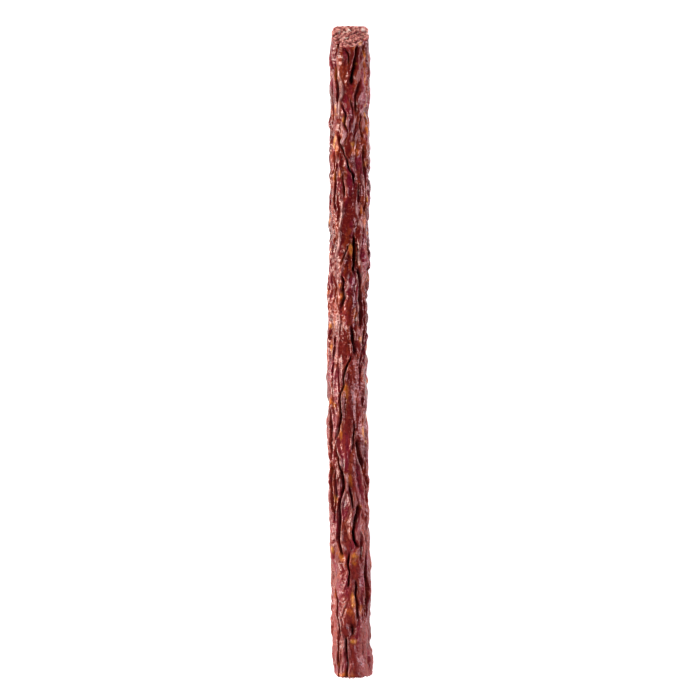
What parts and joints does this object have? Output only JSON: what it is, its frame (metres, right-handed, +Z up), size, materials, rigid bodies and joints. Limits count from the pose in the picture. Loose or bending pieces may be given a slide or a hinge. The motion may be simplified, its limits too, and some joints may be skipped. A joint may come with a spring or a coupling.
{
  "type": "cured sausage stick",
  "caption": "Thin dried meat stick in a shrunken, length-wise folded skin, cut on a slant at one end and almost square at the other.",
  "frame": {"origin": "on the surface it lies on, under the middle of the stick's length and width", "axes": "+Y along the stick towards its slanted end, +Z up out of the surface"},
  "size_m": [0.0142, 0.21, 0.0124],
  "materials": {
    "cured_meat": "semi-gloss"
  },
  "bodies": {
    "root": {"sausage_stick": "cured_meat"}
  },
  "joints": []
}
